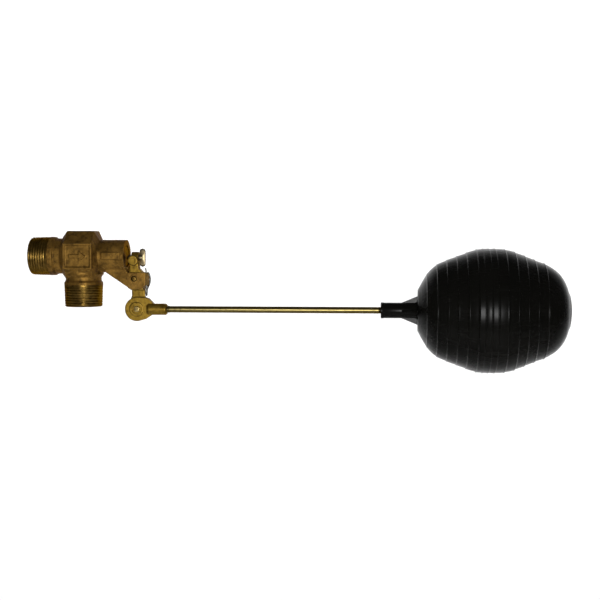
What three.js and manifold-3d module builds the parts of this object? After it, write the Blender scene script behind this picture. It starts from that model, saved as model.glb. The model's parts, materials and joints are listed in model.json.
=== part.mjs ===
// Float valve: bronze angle valve with a brass lever, rod and a ringed plastic float.
// Millimetres. Origin: centre of the inlet end plane. +X towards the float, +Y to the rear, +Z up.
import * as THREE from 'three';
import { mergeVertices } from 'three/addons/utils/BufferGeometryUtils.js';
import Module from 'manifold-3d';

const wasm = await Module();
wasm.setup();

// ---------- driving dimensions ----------

const gap = 0.3;                      // air left between neighbouring pieces
const roundSides = 28;                // facets around the large round shapes
const smallSides = 16;                // facets around pins and screws
const floatSides = 36;                // facets around the float

const threadPitch = 25.4 / 11.5;      // 1 inch taper pipe thread
const threadRadius = 33.4 / 2;        // outside radius at the large end of that thread
const threadTaper = 1 / 32;           // radius lost per millimetre of length
const threadDepth = 1.4;
const inletThread = 17;
const inletLand = 4;                  // plain collar behind the inlet thread
const outletThread = 18.6;
const outletLand = 2.4;
const portBore = 12.4;                // bore radius of the inlet and of the outlet

const tipChamfer = 0.5;
const shoulder = 1.4;                 // slope from the collar down to the neck
const seatPocket = 9.6;               // hole that the seat ring stands in

const neckRadius = 15.3;              // cast necks behind both threads
const blockLeft = 28.6;
const blockRight = 61.4;
const blockBevel = 4.8;
const blockApothem = 21.8;
const outletX = 45;
const outletTop = -22.6;              // where the outlet thread begins
const outletEnd = outletTop - outletThread - outletLand;

const chamberLeft = 28;
const chamberRight = 56;
const chamberRadius = 13;
const barrelRadius = 14;
const barrelEnd = 83.4;
const guideBore = 9.3;

const padLeft = 33.1;
const padRight = 58.1;
const padHalfHeight = 10.8;
const padRoot = 15;                   // depth at which the pads start inside the block
const padFace = 22.4;                 // distance of the pad face from the middle plane
const padRim = 1.5;
const padRecess = 0.7;

const pivotX = 91.2;
const pivotZ = -19.3;
const earInner = 5.2;
const earOuter = 8.2;
const earRadius = 9.2;                // rounding of the ears under the pin
const earCorner = 6;
const earRight = 101.1;
const earTop = -14;
const pinRadius = 2.2;

const headZ = -1.3;                   // height of the thumb screw and its boss
const bossRadius = 5;
const crossX = 90;                    // round cross bar at the top of the lever
const crossZ = -3.7;
const crossRadius = 4.1;
const leverHalf = earInner - 0.5;     // half thickness of the lever between the ears
const tongueRight = 101.1;

const boltX = 92.9;
const boltZ = -45.5;
const boltRadius = 2;
const discRadius = 10.3;
const plateFront = -6.6;              // front face of the clamping disc of the arm
const plateBack = -0.3;
const leverPlateFront = 0.5;

const rodY = -4.8;
const rodRadius = 2.75;
const rodThreadRadius = 3.05;
const rodLength = 203.2;              // 8 inch rod
const rodEngaged = 10.3;
const socketRadius = 4.9;
const socketEnd = 119.4;
const rodStart = socketEnd - rodEngaged;
const rodFinish = rodStart + rodLength;

const floatNeckTip = rodFinish - rodEngaged;
const floatBodyLeft = 332.8;
const floatLength = 127;              // 5 inch body
const floatRadius = 52.2;             // a little over 4 inches across
const floatNeckRadius = 6.6;
const floatWall = 2.5;
const insertRadius = 5;

// ---------- shared helpers ----------

// A closed three.js geometry as a manifold solid, with its faces pointing out.
function solid(geometry) {
  const bare = geometry.clone();
  bare.deleteAttribute('normal');
  bare.deleteAttribute('uv');
  const merged = mergeVertices(bare, 1e-4);
  const index = merged.index.array;
  const triangles = [];
  for (let i = 0; i < index.length; i += 3) {
    const [a, b, c] = [index[i], index[i + 1], index[i + 2]];
    if (a !== b && b !== c && c !== a) triangles.push(a, b, c);
  }
  const build = (order) => new wasm.Manifold(new wasm.Mesh({
    numProp: 3,
    vertProperties: new Float32Array(merged.attributes.position.array),
    triVerts: new Uint32Array(order),
  }));
  const body = build(triangles);
  if (body.volume() > 0) return body;
  for (let i = 0; i < triangles.length; i += 3) {
    [triangles[i + 1], triangles[i + 2]] = [triangles[i + 2], triangles[i + 1]];
  }
  return build(triangles);
}

function geometryOf(body) {
  const mesh = body.getMesh();
  const geometry = new THREE.BufferGeometry();
  const positions = new Float32Array(mesh.numVert * 3);
  for (let i = 0; i < mesh.numVert; i += 1) {
    for (let k = 0; k < 3; k += 1) positions[i * 3 + k] = mesh.vertProperties[i * mesh.numProp + k];
  }
  geometry.setAttribute('position', new THREE.BufferAttribute(positions, 3));
  geometry.setIndex(Array.from(mesh.triVerts));
  geometry.computeVertexNormals();
  return geometry;
}

// Turn a profile of [distance along the axis, radius] points around the X axis.
function turnedX(profile, sides = roundSides, phase = 0) {
  const points = profile.map(([along, radius]) => new THREE.Vector2(radius, along));
  const geometry = new THREE.LatheGeometry(points, sides, phase);
  return solid(geometry.rotateZ(-Math.PI / 2));
}

// The same around a vertical line; the profile is given from the bottom up.
function turnedZ(profile, x, sides = roundSides) {
  const points = profile.map(([along, radius]) => new THREE.Vector2(radius, along));
  const geometry = new THREE.LatheGeometry(points, sides);
  return solid(geometry.rotateX(Math.PI / 2).translate(x, 0, 0));
}

// The same around a line along Y through (x, z).
function turnedY(profile, x, z, sides = smallSides) {
  const points = profile.map(([along, radius]) => new THREE.Vector2(radius, along));
  const geometry = new THREE.LatheGeometry(points, sides);
  return solid(geometry.translate(x, 0, z));
}

function rodAlongX(left, right, radius, sides = roundSides) {
  return turnedX([[left, 0], [left, radius], [right, radius], [right, 0]], sides);
}

function rodAlongY(front, back, radius, x, z, sides = smallSides) {
  return turnedY([[front, 0], [front, radius], [back, radius], [back, 0]], x, z, sides);
}

function box(x0, x1, y0, y1, z0, z1) {
  const geometry = new THREE.BoxGeometry(x1 - x0, y1 - y0, z1 - z0);
  return solid(geometry.translate((x0 + x1) / 2, (y0 + y1) / 2, (z0 + z1) / 2));
}

// A flat outline in the XZ plane, given thickness from front to back along Y.
function plate(outline, front, back) {
  const shape = new THREE.Shape(outline.map(([x, z]) => new THREE.Vector2(x, z)));
  const geometry = new THREE.ExtrudeGeometry(shape, { depth: back - front, bevelEnabled: false });
  return solid(geometry.rotateX(Math.PI / 2).translate(0, back, 0));
}

// Points on an arc in the XZ plane, angles in degrees.
function arc(x, z, radius, from, to, steps) {
  const points = [];
  for (let i = 0; i <= steps; i += 1) {
    const angle = THREE.MathUtils.degToRad(from + (to - from) * (i / steps));
    points.push([x + radius * Math.cos(angle), z + radius * Math.sin(angle)]);
  }
  return points;
}

function ring(left, right, inner, outer, sides = roundSides) {
  return turnedX([[left, inner], [left, outer], [right, outer], [right, inner], [left, inner]], sides);
}

const model = new THREE.Group();
model.name = 'float_valve';

function addPiece(name, body, color, metalness, roughness) {
  const material = new THREE.MeshStandardMaterial({ color, metalness, roughness });
  material.name = `${name}_material`;
  const mesh = new THREE.Mesh(geometryOf(body), material);
  mesh.name = name;
  model.add(mesh);
}

const castBronze = (name, body) => addPiece(name, body, 0x7d5c32, 0.8, 0.55);
const brass = (name, body) => addPiece(name, body, 0x94783a, 0.9, 0.35);
const steel = (name, body) => addPiece(name, body, 0x8a8a84, 0.9, 0.35);
const rubber = (name, body) => addPiece(name, body, 0x1c1c1c, 0, 0.8);
const plastic = (name, body) => addPiece(name, body, 0x0e0e0c, 0, 0.4);

// ---------- valve body ----------

// Ridges of a taper thread as [distance from the small end, radius] points.
function threadProfile(length) {
  const points = [];
  const ridges = Math.floor(length / threadPitch);
  const radiusAt = (along) => threadRadius - (length - along) * threadTaper;
  for (let i = 0; i < ridges; i += 1) {
    const root = (i + 0.3) * threadPitch;
    const crest = (i + 0.8) * threadPitch;
    points.push([root, radiusAt(root) - threadDepth]);
    points.push([crest, radiusAt(crest)]);
  }
  return points;
}

function inletSpigot() {
  const land = inletThread + inletLand;
  return turnedX([
    [0, 0],
    [0, threadRadius - threadDepth - tipChamfer],
    ...threadProfile(inletThread),
    [inletThread, threadRadius],
    [land, threadRadius],
    [land + shoulder, neckRadius],
    [chamberLeft + 4, neckRadius],
    [chamberLeft + 4, 0],
  ]);
}

function outletSpigot() {
  const flare = -18;
  const thread = threadProfile(outletThread).map(([along, radius]) => [outletEnd + along, radius]);
  return turnedZ([
    [outletEnd, 0],
    [outletEnd, threadRadius - threadDepth - tipChamfer],
    ...thread,
    [outletEnd + outletThread, threadRadius],
    [outletTop, threadRadius],
    [outletTop + shoulder, neckRadius],
    [flare, neckRadius],
    [flare + 2.4, neckRadius + 2],
    [flare + 6, neckRadius + 2],
    [0, neckRadius],
    [0, 0],
  ], outletX);
}

// Eight-sided centre block with sloping ends.
function centreBlock() {
  const corner = 1 / Math.cos(Math.PI / 8);
  return turnedX([
    [blockLeft, 0],
    [blockLeft, (neckRadius + 0.6) * corner],
    [blockLeft + blockBevel, blockApothem * corner],
    [blockRight - blockBevel, blockApothem * corner],
    [blockRight, barrelRadius],
    [blockRight, 0],
  ], 8, Math.PI / 8);
}

function barrel() {
  const edge = 1.4;
  return turnedX([
    [outletX, 0],
    [outletX, barrelRadius],
    [barrelEnd - edge, barrelRadius],
    [barrelEnd - edge * 0.3, barrelRadius - edge * 0.3],
    [barrelEnd, barrelRadius - edge],
    [barrelEnd, 0],
  ]);
}

// A square pad with a rim, a sunk panel and a plain flow arrow; side is -1 in front, +1 behind.
function pad(side) {
  const slab = side < 0
    ? box(padLeft, padRight, -padFace, -padRoot, -padHalfHeight, padHalfHeight)
    : box(padLeft, padRight, padRoot, padFace, -padHalfHeight, padHalfHeight);
  const floor = padFace - padRecess;
  const [near, far] = side < 0 ? [-padFace - 1, -floor] : [floor, padFace + 1];
  const panel = box(
    padLeft + padRim, padRight - padRim, near, far, -padHalfHeight + padRim, padHalfHeight - padRim,
  );
  return slab.subtract(panel);
}

function flowArrow() {
  const middle = (padLeft + padRight) / 2;
  const outline = [
    [middle - 7, -1.3], [middle + 1.5, -1.3], [middle + 1.5, -4],
    [middle + 7, 0], [middle + 1.5, 4], [middle + 1.5, 1.3], [middle - 7, 1.3],
  ];
  return plate(outline, -padFace + 0.2, -padFace + padRecess + 1);
}

function ears() {
  const slope = [[67, -14.2], [85.6, -26.7]];
  const outline = [
    [64, -9], ...slope,
    ...arc(pivotX - 1, pivotZ, earRadius, -115, -85, 3),
    ...arc(earRight - earCorner, pivotZ - earRadius + earCorner, earCorner, -80, 0, 5),
    [earRight, earTop], [barrelEnd + 2.2, earTop], [barrelEnd + 0.8, earTop + 1.6],
    [barrelEnd, earTop + 4.4], [barrelEnd - 1, -9],
  ];
  const bothEars = plate(outline, -earOuter, -earInner).add(plate(outline, earInner, earOuter));
  const web = plate([
    [64, -9], slope[0], [84.4, -25.9], [84.4, -23], [77, -18], [77, -9],
  ], -earInner - 1, earInner + 1);
  return bothEars.add(web);
}

function valveBody() {
  const labelBar = box(64, 80, -barrelRadius - 0.5, -barrelRadius + 2, -2.6, 3.2);
  const shell = inletSpigot()
    .add(centreBlock())
    .add(barrel())
    .add(outletSpigot())
    .add(ears())
    .add(pad(-1))
    .add(pad(1))
    .add(flowArrow())
    .add(labelBar);
  const outletBore = turnedZ([[-50, 0], [-50, portBore], [0, portBore], [0, 0]], outletX);
  return shell
    .subtract(rodAlongX(-1, 20, portBore))
    .subtract(rodAlongX(19, chamberLeft + 1, seatPocket))
    .subtract(rodAlongX(chamberLeft, chamberRight, chamberRadius))
    .subtract(rodAlongX(chamberRight - 1, barrelEnd + 1, guideBore))
    .subtract(outletBore)
    .subtract(rodAlongY(-20, 20, pinRadius + gap, pivotX, pivotZ));
}

// ---------- seat, inside the inlet ----------

const seatBore = 6.8;
const seatLip = chamberLeft + 2;

function seatRing() {
  return turnedX([
    [16.7, seatBore], [16.7, 12.1], [18.7, 12.1], [18.7, 9.3],
    [seatLip - 1, 9.3], [seatLip, 8.2], [seatLip, seatBore], [16.7, seatBore],
  ]);
}

function seatGasket() {
  return ring(19, 19.7, 9.7, 12.1);
}

// ---------- plunger and what it carries ----------

const stroke = 2.51;
const discFace = seatLip + gap + stroke;
const cupFloor = discFace + 4.1;
const plungerRadius = 8.9;
const stemRadius = 5.2;
const tailEnd = 82.9;

function plunger() {
  const hole = 2.5;
  return turnedX([
    [cupFloor + 8, 0],
    [cupFloor + 8, hole],
    [cupFloor, hole],
    [cupFloor, 8.3],
    [discFace + 1.2, 8.3],
    [discFace + 1.2, plungerRadius],
    [cupFloor + 2.6, plungerRadius],
    [cupFloor + 4, stemRadius],
    [59.5, stemRadius],
    [60.5, plungerRadius],
    [63, plungerRadius],
    [63, stemRadius],
    [tailEnd - 5, stemRadius],
    [tailEnd - 4, plungerRadius],
    [tailEnd - 0.6, plungerRadius],
    [tailEnd, plungerRadius - 0.6],
    [tailEnd, 0],
  ], roundSides);
}

function seatDisc() {
  return ring(discFace, discFace + 3.8, 2.5, 8);
}

function discWasher() {
  return ring(discFace - 1, discFace - gap, 2.5, 5.2, smallSides);
}

function discScrew() {
  const under = discFace - 1 - gap;
  const screw = turnedX([
    [under - 1.4, 0], [under - 1.4, 3.6], [under - 0.9, 4.1], [under, 4.1],
    [under, 2.2], [cupFloor + 7, 2.2], [cupFloor + 7, 0],
  ], smallSides);
  return screw.subtract(box(under - 2, under - 0.8, -5, 5, -0.5, 0.5));
}

function cupWasher() {
  const inner = stemRadius + gap;
  return turnedX([
    [63.3, inner], [63.3, 9], [67.3, 9], [67.3, 8.2], [64.6, 8.2], [64.6, inner], [63.3, inner],
  ]);
}

function cupRetainer() {
  return ring(64.9, 68.4, stemRadius + gap, 7.9);
}

// ---------- lever, pin and clip ----------

// The neck under the cross bar, the block between the ears and the tongue for the clip.
function leverSpine() {
  return plate([
    [87, crossZ], [86.6, -8], [86, -14.4], ...arc(pivotX, pivotZ, 6.4, 140, 200, 4),
    [84.7, -22.6], [84.7, -25.3], [86.9, -26.6], [87, -29],
    [98.3, -29], [98.4, -26.8], [tongueRight, -24.4], [tongueRight, -15.6], [tongueRight - 0.8, -14.8],
    [98.4, -14.8], [94, -10.5], [94, crossZ],
  ], -leverHalf, leverHalf);
}

// The lower half of the lever stands behind the clamping disc of the arm.
function leverPlate() {
  const disc = rodAlongY(leverPlateFront, leverHalf, discRadius - 0.4, boltX, boltZ, roundSides);
  const neck = plate([
    [87, -28], [87.2, -34.5], [boltX - 8.9, boltZ + 4.2], [boltX + 8.9, boltZ + 4.2],
    [98.5, -34.5], [98.3, -28],
  ], leverPlateFront, leverHalf);
  return disc.add(neck);
}

const clipX = 99.8;
const clipY = 1.3;
const clipRadius = 0.65;

function lever() {
  const crossBar = turnedY([
    [-8, 0], [-8, crossRadius - 0.4], [-7.6, crossRadius], [7.6, crossRadius],
    [8, crossRadius - 0.4], [8, 0],
  ], crossX, crossZ);
  const boss = rodAlongX(88, 94, bossRadius, 20).translate([0, 0, headZ]);
  const clipHole = turnedZ([
    [-32, 0], [-32, clipRadius + 0.15], [-10, clipRadius + 0.15], [-10, 0],
  ], clipX, 12);
  // Only the drilled hole moves to the depth of the clip.
  const drilled = clipHole.translate([0, clipY, 0]);
  return leverSpine()
    .add(crossBar)
    .add(boss)
    .add(leverPlate())
    .subtract(rodAlongX(80, 100, 2.9, smallSides).translate([0, 0, headZ]))
    .subtract(rodAlongY(-20, 20, pinRadius + gap, pivotX, pivotZ))
    .subtract(rodAlongY(-1, 20, boltRadius + gap, boltX, boltZ))
    .subtract(drilled);
}

function pivotPin() {
  const head = earOuter + gap;
  return turnedY([
    [-earOuter - 0.5, 0], [-earOuter - 0.5, pinRadius - 0.4], [-earOuter - 0.1, pinRadius],
    [head, pinRadius], [head, 3.6], [head + 1.3, 3.6], [head + 1.7, 3.2], [head + 1.7, 0],
  ], pivotX, pivotZ);
}

// A bent wire along the given [x, y, z] points.
function wire(points, radius) {
  const knots = points.map((point) => new THREE.Vector3(...point));
  const path = new THREE.CatmullRomCurve3(knots, false, 'centripetal');
  const circle = new THREE.Shape();
  circle.absarc(0, 0, radius, 0, Math.PI * 2);
  const geometry = new THREE.ExtrudeGeometry(circle, {
    steps: 40, curveSegments: 4, bevelEnabled: false, extrudePath: path,
  });
  return solid(geometry);
}

// One leg stands in the hole of the lever; the other comes back behind it and bows out to the right.
function springClip() {
  const back = clipY + 2.4;
  return wire([
    [clipX - 0.7, clipY, -10.2], [clipX - 0.5, clipY, -11.4], [clipX - 0.1, clipY, -12.8],
    [clipX, clipY, -15], [clipX, clipY, -20], [clipX, clipY, -26], [clipX, clipY, -32.4],
    [clipX, clipY + 0.5, -33.5], [clipX, clipY + 1.2, -33.9], [clipX, back - 0.5, -33.5],
    [clipX, back, -32.4], [clipX + 0.1, back, -30.5], [clipX + 0.5, back - 0.1, -28.3],
    [clipX + 1.5, back - 0.5, -26.2], [clipX + 2.5, back - 1.1, -24], [clipX + 3.2, back - 1.7, -21],
    [clipX + 3.2, clipY + 0.4, -18.5], [clipX + 2.6, clipY + 0.1, -15.8], [clipX + 1.7, clipY, -14],
  ], clipRadius);
}

function thumbScrew() {
  const shank = 2.6;
  const bladeLeft = 94.4;
  const bladeRight = 99.7;
  const bladeHalf = 7.8;
  const middle = (bladeLeft + bladeRight) / 2;
  const half = (bladeRight - bladeLeft) / 2;
  const dome = [0, 30, 60].map((degrees) => {
    const angle = THREE.MathUtils.degToRad(degrees);
    return [tailEnd + gap + shank * (1 - Math.cos(angle)), shank * Math.sin(angle)];
  });
  const stem = turnedX([
    ...dome, [tailEnd + gap + shank, shank], [bladeLeft + 2, shank], [bladeLeft + 3, 0],
  ], smallSides);
  const blade = plate([
    ...arc(middle, bladeHalf - half, half, 0, 180, 8),
    ...arc(middle, half - bladeHalf, half, 180, 360, 8),
  ], -1.5, 1.5);
  return stem.add(blade).translate([0, 0, headZ]);
}

// ---------- clamped arm, rod and float ----------

function armBolt() {
  return turnedY([
    [-7.1, 0], [-7.1, 2.3], [-6.7, 2.7], [-5.8, 2.7], [-5.8, boltRadius],
    [10.6, boltRadius], [11, boltRadius - 0.4], [11, 0],
  ], boltX, boltZ);
}

function armLockWasher() {
  const front = leverHalf + gap;
  return rodAlongY(front, front + 1.1, 4.4, boltX, boltZ)
    .subtract(rodAlongY(front - 1, front + 2, boltRadius + gap, boltX, boltZ));
}

function armNut() {
  const front = leverHalf + gap + 1.1 + gap;
  return rodAlongY(front, front + 3.2, 4.6, boltX, boltZ, 6)
    .subtract(rodAlongY(front - 1, front + 4, boltRadius + gap, boltX, boltZ));
}

function rodArm() {
  const outline = [
    ...arc(boltX, boltZ, discRadius, 90, 290, 18),
    [boltX + 7.4, boltZ - 8.6], [boltX + 13, boltZ - 4.9], [boltX + 15, boltZ - 4.4],
    [boltX + 15, boltZ + 4.4], [boltX + 13.4, boltZ + 5.8], [boltX + 10.2, boltZ + 9.1],
    [boltX + 8.2, boltZ + 9.9],
  ];
  const socket = turnedX([
    [boltX + 9, 0], [boltX + 9, socketRadius - 1.2], [boltX + 10.6, socketRadius],
    [socketEnd - 1.3, socketRadius], [socketEnd, socketRadius - 1], [socketEnd, 0],
  ], roundSides).translate([0, rodY, boltZ]);
  const raisedRing = rodAlongY(plateFront - 1, plateFront + 1, 5.9, boltX, boltZ);
  const recess = rodAlongY(plateFront - 2, plateFront + 1.1, 4, boltX, boltZ);
  const rodHole = rodAlongX(rodStart - 1, socketEnd + 1, rodThreadRadius + gap, smallSides)
    .translate([0, rodY, boltZ]);
  return plate(outline, plateFront, plateBack)
    .add(socket)
    .add(raisedRing)
    .subtract(recess)
    .subtract(rodAlongY(-20, 5, boltRadius + gap, boltX, boltZ))
    .subtract(rodHole);
}

function floatRod() {
  const thread = 12;
  const chamfer = 0.6;
  return turnedX([
    [rodStart, 0],
    [rodStart, rodThreadRadius - chamfer],
    [rodStart + chamfer, rodThreadRadius],
    [rodStart + thread, rodThreadRadius],
    [rodStart + thread, rodRadius],
    [rodFinish - thread, rodRadius],
    [rodFinish - thread, rodThreadRadius],
    [rodFinish - chamfer, rodThreadRadius],
    [rodFinish, rodThreadRadius - chamfer],
    [rodFinish, 0],
  ], smallSides).translate([0, rodY, boltZ]);
}

// A closed-ended bushing that the rod screws into.
function floatInsert() {
  const bore = rodThreadRadius + gap;
  return turnedX([
    [floatNeckTip + 0.4, bore],
    [floatNeckTip + 0.4, insertRadius],
    [rodFinish + 4, insertRadius],
    [rodFinish + 4, 0],
    [rodFinish + 1, 0],
    [rodFinish + 1, bore],
    [floatNeckTip + 0.4, bore],
  ], smallSides).translate([0, rodY, boltZ]);
}

// Outside radius of the float body against the share of its length.
const floatShape = [
  [0, 0.34], [0.03, 0.47], [0.05, 0.57], [0.09, 0.68], [0.12, 0.745], [0.2, 0.83], [0.28, 0.9],
  [0.36, 0.975], [0.41, 1], [0.53, 1], [0.6, 0.975], [0.68, 0.9], [0.76, 0.82], [0.84, 0.745],
  [0.9, 0.655], [0.94, 0.55], [0.97, 0.42], [0.99, 0.26], [1, 0.1],
];

function floatRadiusAt(share) {
  for (let i = 1; i < floatShape.length; i += 1) {
    const [s0, r0] = floatShape[i - 1];
    const [s1, r1] = floatShape[i];
    if (share <= s1) return floatRadius * (r0 + (r1 - r0) * ((share - s0) / (s1 - s0)));
  }
  return 0;
}

// Edges of the moulded rings: narrow bands at the crest, wider ones towards both ends.
function ringEdges() {
  const crest = 0.44;
  const narrow = [0.02, 0.06];
  const wideStep = 0.064;
  const wideCount = 5;
  const edges = [];
  for (const side of [-1, 1]) {
    for (const offset of narrow) edges.push(crest + side * offset);
    for (let i = 1; i <= wideCount; i += 1) edges.push(crest + side * (narrow[1] + i * wideStep));
  }
  return edges.sort((a, b) => a - b);
}

function floatShell() {
  const groove = 0.7;
  const lip = 0.4;
  const at = (share) => floatBodyLeft + share * floatLength;
  const outside = [
    [floatNeckTip, insertRadius + gap],
    [floatNeckTip, floatNeckRadius + 0.2],
    [floatNeckTip + 2.4, floatNeckRadius + 0.2],
    [floatNeckTip + 2.6, floatNeckRadius],
    [floatBodyLeft, floatNeckRadius],
  ];
  const edges = ringEdges();
  const ends = floatShape.map(([share]) => share);
  for (const share of ends.filter((s) => s < edges[0])) outside.push([at(share), floatRadiusAt(share)]);
  for (const share of edges) {
    const radius = floatRadiusAt(share);
    outside.push([at(share) - groove / 2, radius]);
    outside.push([at(share) + groove / 2, radius - lip]);
  }
  for (const share of ends.filter((s) => s > edges[edges.length - 1])) {
    outside.push([at(share), floatRadiusAt(share)]);
  }
  outside.push([at(1), 0]);
  const inside = [[at(1) - floatWall, 0]];
  for (const share of [0.97, 0.88, 0.68, 0.47, 0.25, 0.08, 0.025]) {
    inside.push([Math.min(at(share), at(1) - floatWall), floatRadiusAt(share) - floatWall]);
  }
  inside.push([floatBodyLeft + floatWall, insertRadius + gap]);
  inside.push([floatNeckTip, insertRadius + gap]);
  const shell = turnedX([...outside, ...inside], floatSides);
  let body = shell;
  for (let i = 0; i < 4; i += 1) {
    const fin = plate([
      [319.5, floatNeckRadius - 0.6], [319.5, floatNeckRadius], [floatBodyLeft + 0.6, 12.2],
      [floatBodyLeft + 0.6, floatNeckRadius - 0.6],
    ], -1, 1);
    body = body.add(fin.rotate([i * 90, 0, 0]));
  }
  return body.translate([0, rodY, boltZ]);
}

// ---------- assembly ----------

castBronze('valve_body', valveBody());
brass('seat_ring', seatRing());
rubber('seat_gasket', seatGasket());
brass('plunger', plunger());
rubber('seat_disc', seatDisc());
brass('disc_washer', discWasher());
brass('disc_screw', discScrew());
rubber('cup_washer', cupWasher());
brass('cup_retainer', cupRetainer());
brass('lever', lever());
brass('pivot_pin', pivotPin());
steel('spring_clip', springClip());
brass('thumb_screw', thumbScrew());
brass('arm_bolt', armBolt());
steel('arm_lock_washer', armLockWasher());
brass('arm_nut', armNut());
brass('rod_arm', rodArm());
brass('float_rod', floatRod());
brass('float_insert', floatInsert());
plastic('float_shell', floatShell());

export default model;
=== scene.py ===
"""Looks of the float valve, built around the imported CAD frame.

Lengths are millimetres until finished() scales a piece to metres.
"""
import json
import math
import bmesh
import bpy
from mathutils import Matrix, Vector, noise


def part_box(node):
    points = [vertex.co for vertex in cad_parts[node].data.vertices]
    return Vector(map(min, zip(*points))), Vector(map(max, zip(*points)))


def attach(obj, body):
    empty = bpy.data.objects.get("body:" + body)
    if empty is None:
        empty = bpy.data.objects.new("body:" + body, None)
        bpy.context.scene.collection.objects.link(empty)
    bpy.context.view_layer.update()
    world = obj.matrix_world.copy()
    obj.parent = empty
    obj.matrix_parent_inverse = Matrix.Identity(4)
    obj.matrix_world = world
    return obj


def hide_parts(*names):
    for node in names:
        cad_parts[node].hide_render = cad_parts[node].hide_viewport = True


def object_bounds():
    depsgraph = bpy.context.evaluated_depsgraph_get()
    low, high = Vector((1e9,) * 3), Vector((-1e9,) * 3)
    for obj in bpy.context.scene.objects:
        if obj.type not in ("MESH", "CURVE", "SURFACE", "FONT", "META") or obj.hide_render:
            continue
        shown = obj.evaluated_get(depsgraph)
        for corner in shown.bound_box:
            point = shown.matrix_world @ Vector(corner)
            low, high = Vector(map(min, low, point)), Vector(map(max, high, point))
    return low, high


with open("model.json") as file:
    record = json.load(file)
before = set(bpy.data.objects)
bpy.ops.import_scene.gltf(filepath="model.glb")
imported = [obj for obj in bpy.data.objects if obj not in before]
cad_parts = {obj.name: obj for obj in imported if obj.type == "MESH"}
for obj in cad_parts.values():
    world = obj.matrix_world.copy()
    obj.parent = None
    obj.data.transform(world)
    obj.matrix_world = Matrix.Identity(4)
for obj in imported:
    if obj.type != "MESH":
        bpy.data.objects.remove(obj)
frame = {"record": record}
cad_low, cad_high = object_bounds()
MILLIMETRE = 0.001


def box_mm(node):
    """Lowest and highest corner of a CAD node, in millimetres."""
    low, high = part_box(node)
    return [value / MILLIMETRE for value in low], [value / MILLIMETRE for value in high]


joint_at = {
    joint["name"]: [value / MILLIMETRE for value in joint["pos_m"]]
    for joint in frame["record"]["behaviour"]["joints"]
    if "pos_m" in joint
}
PIVOT_X, _, PIVOT_Z = joint_at["lever_hinge"]
BOLT_X, _, BOLT_Z = joint_at["arm_clamp"]
HEAD_Z = joint_at["screw_turn"][2]

# ---------- dimensions shared by several pieces ----------

valve_low, valve_high = box_mm("valve_body")
PORT_BORE = 12.4
SEAT_POCKET = 9.6
CHAMBER_BORE = 13
THREAD_RADIUS = 16.7
INLET_THREAD, INLET_LAND = 17.0, 4.0
OUTLET_THREAD, OUTLET_LAND = 18.6, 2.4
THREAD_PITCH = 25.4 / 11.5
LAND_SEAM = 0.05
SHOULDER = 1.4
NECK_RADIUS = 15.3
OUTLET_X = 45.0
OUTLET_END = valve_low[2]
BARREL_RADIUS = 14.0
BARREL_END = 83.4
GUIDE_BORE = 9.3
BLOCK_LEFT, BLOCK_RIGHT = 28.6, 61.4
BLOCK_BEVEL = 4.8
BLOCK_APOTHEM = 21.65
PAD_LEFT, PAD_RIGHT = 33.1, 58.1
PAD_HALF = 10.8
PAD_ROOT = 15.0
PAD_FACE = 22.4
EAR_INNER, EAR_OUTER = 5.2, 8.2
EAR_RIGHT = valve_high[0]
EAR_TOP = -14.0
PIN_RADIUS = 2.2
LEVER_HALF = 4.7
GAP = 0.3
SMALL_THREAD_PITCH = 1.27
BORE_SIDES = 96

SOCKET_END = box_mm("rod_arm")[1][0]
ROD_Y = -4.8
rod_low, rod_high = box_mm("float_rod")
float_low, float_high = box_mm("float_shell")

# ---------- mesh helpers: a shape is (vertices, faces) ----------


def soften(profile, radius=0.25, steps=3):
    """Rounds the corners of an open [along, radius] profile."""
    rounded = [profile[0]]
    for before, corner, after in zip(profile, profile[1:], profile[2:]):
        here = Vector(corner)
        back, ahead = Vector(before) - here, Vector(after) - here
        reach = min(radius, back.length * 0.4, ahead.length * 0.4)
        if reach < 1e-4:
            rounded.append(tuple(here))
            continue
        start = here + back.normalized() * reach
        end = here + ahead.normalized() * reach
        for step in range(steps + 1):
            t = step / steps
            point = start * (1 - t) ** 2 + here * 2 * t * (1 - t) + end * t ** 2
            rounded.append(tuple(point))
    rounded.append(profile[-1])
    return rounded


def place(axis, along, across, up, centre):
    """A point of a turned shape: along its axis and across it."""
    if axis == "X":
        return (along, centre[1] + across, centre[2] + up)
    if axis == "Y":
        return (centre[0] + across, along, centre[2] + up)
    return (centre[0] + across, centre[1] + up, along)


def turned(profile, axis="X", centre=(0, 0, 0), sides=72, phase=0.0, radius_at=None, closed=False):
    """Turns [along, radius] points around an axis; radius_at may change the radius with the angle."""
    vertices, faces, rings = [], [], []
    for along, radius in profile:
        if radius < 1e-6:
            rings.append([len(vertices)])
            vertices.append(place(axis, along, 0, 0, centre))
            continue
        rings.append(list(range(len(vertices), len(vertices) + sides)))
        for side in range(sides):
            angle = phase + 2 * math.pi * side / sides
            reach = radius_at(along, radius, angle) if radius_at else radius
            vertices.append(place(axis, along, reach * math.cos(angle), reach * math.sin(angle), centre))
    pairs = list(zip(rings, rings[1:]))
    if closed:
        pairs.append((rings[-1], rings[0]))
    for first, second in pairs:
        for side in range(sides):
            following = (side + 1) % sides
            if len(first) == 1 and len(second) == 1:
                break
            if len(first) == 1:
                faces.append((first[0], second[side], second[following]))
            elif len(second) == 1:
                faces.append((first[side], second[0], first[following]))
            else:
                faces.append((first[side], second[side], second[following], first[following]))
    return vertices, faces


def cylinder(start, end, radius, axis="X", centre=(0, 0, 0), sides=64):
    """A plain closed cylinder."""
    return turned([(start, 0), (start, radius), (end, radius), (end, 0)], axis, centre, sides)


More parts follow.
